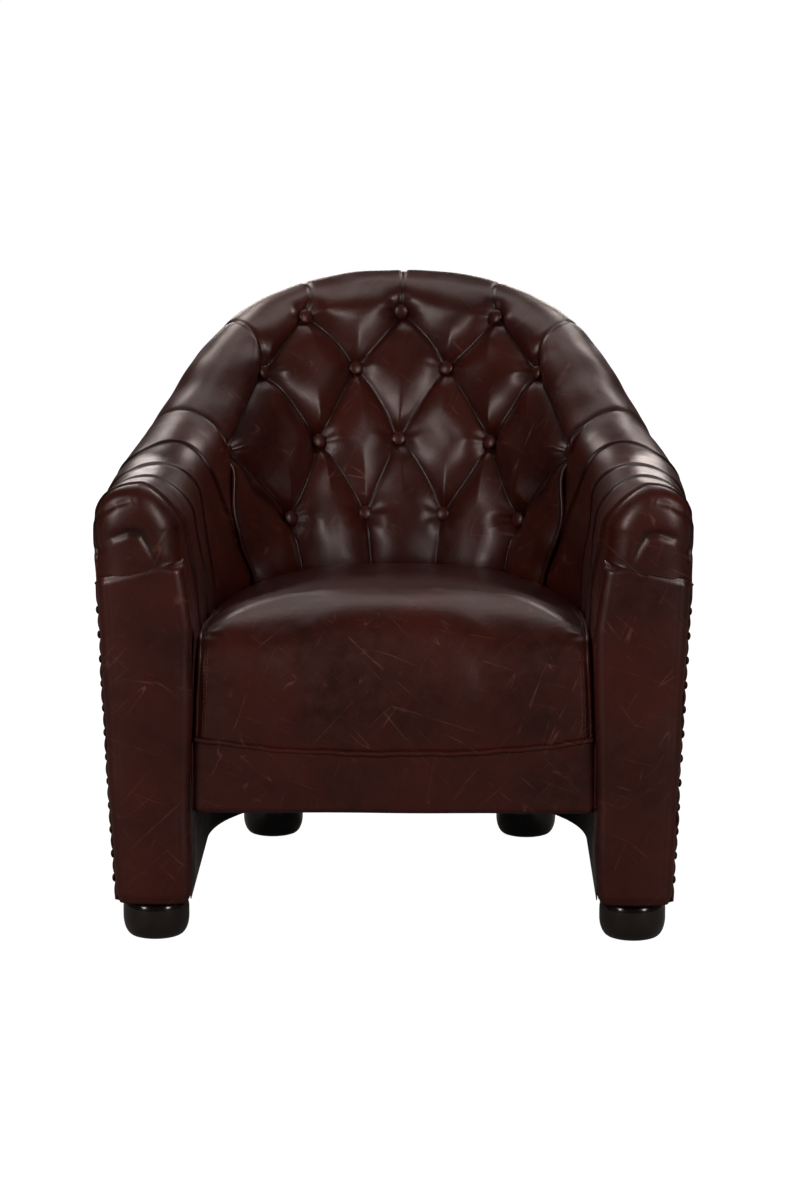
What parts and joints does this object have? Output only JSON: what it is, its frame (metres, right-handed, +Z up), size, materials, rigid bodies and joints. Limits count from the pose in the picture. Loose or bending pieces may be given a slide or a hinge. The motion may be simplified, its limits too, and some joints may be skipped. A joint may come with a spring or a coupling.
{
  "type": "upholstered armchair",
  "caption": "Fixed tub armchair with a deep-buttoned leather inside back, rolled pleated arms, a tight piped seat over an open gap, nailed sides and turned bun feet.",
  "frame": {"origin": "On the floor, under the middle of the chair's bounding box.", "axes": "+Z up, +Y towards the chair's back, so the sitter faces -Y, and +X to the right of someone who looks at the chair's front."},
  "size_m": [0.78, 0.86, 0.8],
  "materials": {
    "leather": "semi-gloss pull-up hide, mottled dark oxblood brown",
    "foam": "open-cell upholstery foam",
    "timber": "planed beech, unfinished",
    "plywood": "birch plywood, unfinished",
    "fibreboard": "bending fibreboard, unfinished",
    "lacquered_wood": "black-brown gloss lacquer",
    "black_cloth": "black non-woven lining cloth",
    "spring_steel": "bare spring wire",
    "bronzed_brass": "darkened nail heads"
  },
  "bodies": {
    "root": {"base_board_left": "plywood", "front_post_left": "timber", "rear_post_left": "timber", "arm_rail_left": "timber", "base_board_right": "plywood", "front_post_right": "timber", "rear_post_right": "timber", "arm_rail_right": "timber", "base_board_rear": "plywood", "back_top_rail": "timber", "seat_horseshoe_rail": "timber", "seat_front_rail": "timber", "arm_front_board_left": "plywood", "outer_shell_left": "fibreboard", "arm_front_board_right": "plywood", "outer_shell_right": "fibreboard", "outer_shell_back": "fibreboard", "inner_lining": "black_cloth", "dust_cover": "black_cloth", "seat_spring_1": "spring_steel", "seat_spring_2": "spring_steel", "seat_spring_3": "spring_steel", "seat_spring_4": "spring_steel", "seat_foam": "foam", "seat_cover": "leather", "front_border": "leather", "seat_welt": "leather", "arm_foam_left": "foam", "arm_foam_right": "foam", "back_foam": "foam", "arm_cover_left": "leather", "arm_facing_left": "leather", "outside_arm_cover_left": "leather", "arm_cover_right": "leather", "arm_facing_right": "leather", "outside_arm_cover_right": "leather", "inside_back_cover": "leather", "outside_back_cover": "leather", "button_1_1": "leather", "button_1_2": "leather", "button_1_3": "leather", "button_2_1": "leather", "button_2_2": "leather", "button_2_3": "leather", "button_2_4": "leather", "button_3_1": "leather", "button_3_2": "leather", "button_3_3": "leather", "button_3_4": "leather", "button_3_5": "leather", "button_4_1": "leather", "button_4_2": "leather", "button_4_3": "leather", "button_4_4": "leather", "tack_strip_left": "bronzed_brass", "tack_strip_right": "bronzed_brass", "foot_front_left": "lacquered_wood", "foot_front_right": "lacquered_wood", "foot_rear_left": "lacquered_wood", "foot_rear_right": "lacquered_wood"}
  },
  "joints": []
}
